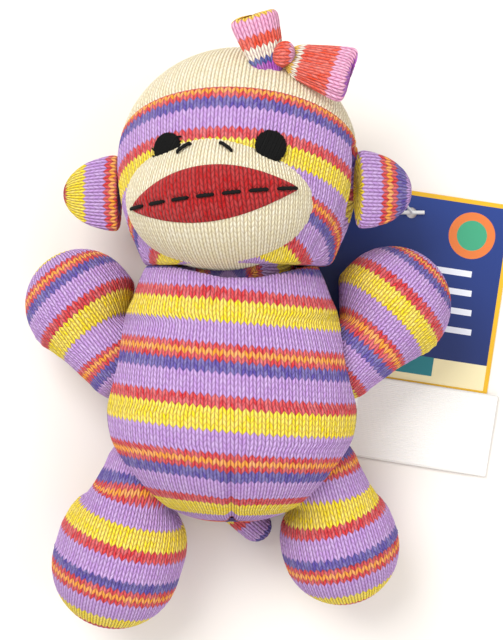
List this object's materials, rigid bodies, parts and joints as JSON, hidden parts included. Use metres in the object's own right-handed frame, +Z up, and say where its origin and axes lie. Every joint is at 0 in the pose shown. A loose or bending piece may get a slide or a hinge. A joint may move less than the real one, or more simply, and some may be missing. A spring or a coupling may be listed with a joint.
{
  "type": "stuffed monkey toy",
  "caption": "Small sewn monkey of striped knit fabric lying on its back, with stuffed head, arms, legs, tail and ears, a cream muzzle, a bow and paper tags.",
  "frame": {"origin": "middle of the flat that the back of the torso presses on the surface it lies on", "axes": "+Z up from the surface, out of the belly; +Y from the legs to the crown; +X to the monkey's own left"},
  "size_m": [0.1747, 0.2132, 0.0829],
  "materials": {
    "striped_knit": "soft striped jersey knit",
    "cream_knit": "soft cream jersey knit",
    "red_lip_knit": "fuzzy red knit",
    "black_thread": "matte embroidery thread",
    "black_eye_embroidery": "fuzzy black satin stitch",
    "polyester_filling": "loose white fibre",
    "bow_knit": "variegated crochet knit",
    "printed_card": "glossy print",
    "clear_nylon": "glossy white nylon",
    "white_satin_label": "woven satin ribbon"
  },
  "bodies": {
    "torso": {"torso_front_panel": "striped_knit", "torso_back_panel": "striped_knit", "torso_stuffing": "polyester_filling"},
    "neck_turn": {"body_gathered_end": "striped_knit"},
    "neck_tilt": {"neck_gathered_end": "striped_knit"},
    "head": {"head_front_panel": "striped_knit", "head_back_panel": "striped_knit", "crown_cap": "cream_knit", "head_stuffing": "polyester_filling", "muzzle_panel": "cream_knit", "muzzle_stuffing": "polyester_filling", "lips": "red_lip_knit", "mouth_stitches": "black_thread", "nostril_stitches": "black_thread", "right_eye": "black_eye_embroidery", "left_eye": "black_eye_embroidery"},
    "tail": {"tail_skin": "striped_knit", "tail_stuffing": "polyester_filling"},
    "bow": {"bow_knot": "bow_knit", "bow_right_loop": "bow_knit", "bow_left_loop": "bow_knit"},
    "tag_pin": {"tag_pin": "clear_nylon"},
    "swing_tag": {"swing_tag": "printed_card"},
    "care_label": {"care_label": "white_satin_label"},
    "right_arm_root": {"right_arm_gathered_end": "striped_knit"},
    "right_arm": {"right_arm_front_panel": "striped_knit", "right_arm_back_panel": "striped_knit", "right_arm_stuffing": "polyester_filling"},
    "left_arm_root": {"left_arm_gathered_end": "striped_knit"},
    "left_arm": {"left_arm_front_panel": "striped_knit", "left_arm_back_panel": "striped_knit", "left_arm_stuffing": "polyester_filling"},
    "right_leg_root": {"right_leg_gathered_end": "striped_knit"},
    "right_leg": {"right_leg_front_panel": "striped_knit", "right_leg_back_panel": "striped_knit", "right_leg_stuffing": "polyester_filling"},
    "left_leg_root": {"left_leg_gathered_end": "striped_knit"},
    "left_leg": {"left_leg_front_panel": "striped_knit", "left_leg_back_panel": "striped_knit", "left_leg_stuffing": "polyester_filling"},
    "right_ear": {"right_ear_front_panel": "striped_knit", "right_ear_back_panel": "striped_knit", "right_ear_wadding": "polyester_filling"},
    "left_ear": {"left_ear_front_panel": "striped_knit", "left_ear_back_panel": "striped_knit", "left_ear_wadding": "polyester_filling"}
  },
  "joints": [
    {"name": "head_turn", "type": "hinge", "parent": "torso", "child": "neck_turn", "pos_m": [0.001, 0.049, 0.035], "axis": [0, 1, 0], "range_deg": [-30, 30], "stiffness_Nm_per_rad": 0.15},
    {"name": "head_tilt", "type": "hinge", "parent": "neck_turn", "child": "neck_tilt", "pos_m": [0.001, 0.049, 0.035], "axis": [0, 0, 1], "range_deg": [-6, 6], "stiffness_Nm_per_rad": 0.15},
    {"name": "head_nod", "type": "hinge", "parent": "neck_tilt", "child": "head", "pos_m": [0.001, 0.049, 0.035], "axis": [1, 0, 0], "range_deg": [-6, 1], "stiffness_Nm_per_rad": 0.15},
    {"name": "right_arm_swing", "type": "hinge", "parent": "torso", "child": "right_arm_root", "pos_m": [-0.03738, 0.01644, 0.02863], "axis": [0, 0, -1], "range_deg": [-70, 0], "stiffness_Nm_per_rad": 0.03},
    {"name": "right_arm_lift", "type": "hinge", "parent": "right_arm_root", "child": "right_arm", "pos_m": [-0.03738, 0.01644, 0.02863], "axis": [0.788, 0.6157, 0], "range_deg": [-8, 10], "stiffness_Nm_per_rad": 0.03},
    {"name": "left_arm_swing", "type": "hinge", "parent": "torso", "child": "left_arm_root", "pos_m": [0.03738, 0.01644, 0.02863], "axis": [0, 0, 1], "range_deg": [-70, 0], "stiffness_Nm_per_rad": 0.03},
    {"name": "left_arm_lift", "type": "hinge", "parent": "left_arm_root", "child": "left_arm", "pos_m": [0.03738, 0.01644, 0.02863], "axis": [0.7314, -0.682, 0], "range_deg": [-8, 10], "stiffness_Nm_per_rad": 0.03},
    {"name": "right_leg_swing", "type": "hinge", "parent": "torso", "child": "right_leg_root", "pos_m": [-0.03019, -0.02202, 0.02859], "axis": [0, 0, -1], "range_deg": [-1, 40], "stiffness_Nm_per_rad": 0.03},
    {"name": "right_leg_lift", "type": "hinge", "parent": "right_leg_root", "child": "right_leg", "pos_m": [-0.03019, -0.02202, 0.02859], "axis": [-0.9537, 0.3007, 0], "range_deg": [-6, 15], "stiffness_Nm_per_rad": 0.03},
    {"name": "left_leg_swing", "type": "hinge", "parent": "torso", "child": "left_leg_root", "pos_m": [0.03019, -0.02202, 0.02859], "axis": [0, 0, 1], "range_deg": [-1, 40], "stiffness_Nm_per_rad": 0.03},
    {"name": "left_leg_lift", "type": "hinge", "parent": "left_leg_root", "child": "left_leg", "pos_m": [0.03019, -0.02202, 0.02859], "axis": [-0.9613, -0.2756, 0], "range_deg": [-6, 15], "stiffness_Nm_per_rad": 0.03},
    {"name": "right_ear_fold", "type": "hinge", "parent": "head", "child": "right_ear", "pos_m": [-0.03853, 0.074, 0.03188], "axis": [0, 1, 0], "range_deg": [-12, 25], "stiffness_Nm_per_rad": 0.004},
    {"name": "left_ear_fold", "type": "hinge", "parent": "head", "child": "left_ear", "pos_m": [0.04183, 0.074, 0.04605], "axis": [0, -1, 0], "range_deg": [-3, 25], "stiffness_Nm_per_rad": 0.004},
    {"name": "tail_swing", "type": "hinge", "parent": "torso", "child": "tail", "pos_m": [-0.002, -0.034, 0.012], "axis": [0, 0, 1], "range_deg": [-60, 0], "stiffness_Nm_per_rad": 0.004},
    {"name": "bow_twist", "type": "hinge", "parent": "head", "child": "bow", "pos_m": [0.019, 0.1195, 0.0595], "axis": [0, 0.3746, 0.9272], "range_deg": [-15, 12], "stiffness_Nm_per_rad": 0.003},
    {"name": "pin_swing", "type": "hinge", "parent": "left_ear", "child": "tag_pin", "pos_m": [0.05499, 0.074, 0.04127], "axis": [0, 1, 0], "range_deg": [-20, 20], "deforming": ["tag_pin"]},
    {"name": "tag_swing", "type": "hinge", "parent": "tag_pin", "child": "swing_tag", "pos_m": [0.065, 0.0697, 0.0018], "axis": [0.9888, -0.1495, 0], "range_deg": [-60, 2], "deforming": ["swing_tag"]},
    {"name": "label_fold", "type": "hinge", "parent": "torso", "child": "care_label", "pos_m": [0.03246, -0.002, 0.011], "axis": [-0.1564, -0.9877, 0], "range_deg": [-2, 60], "stiffness_Nm_per_rad": 0.002, "deforming": ["care_label"]}
  ]
}
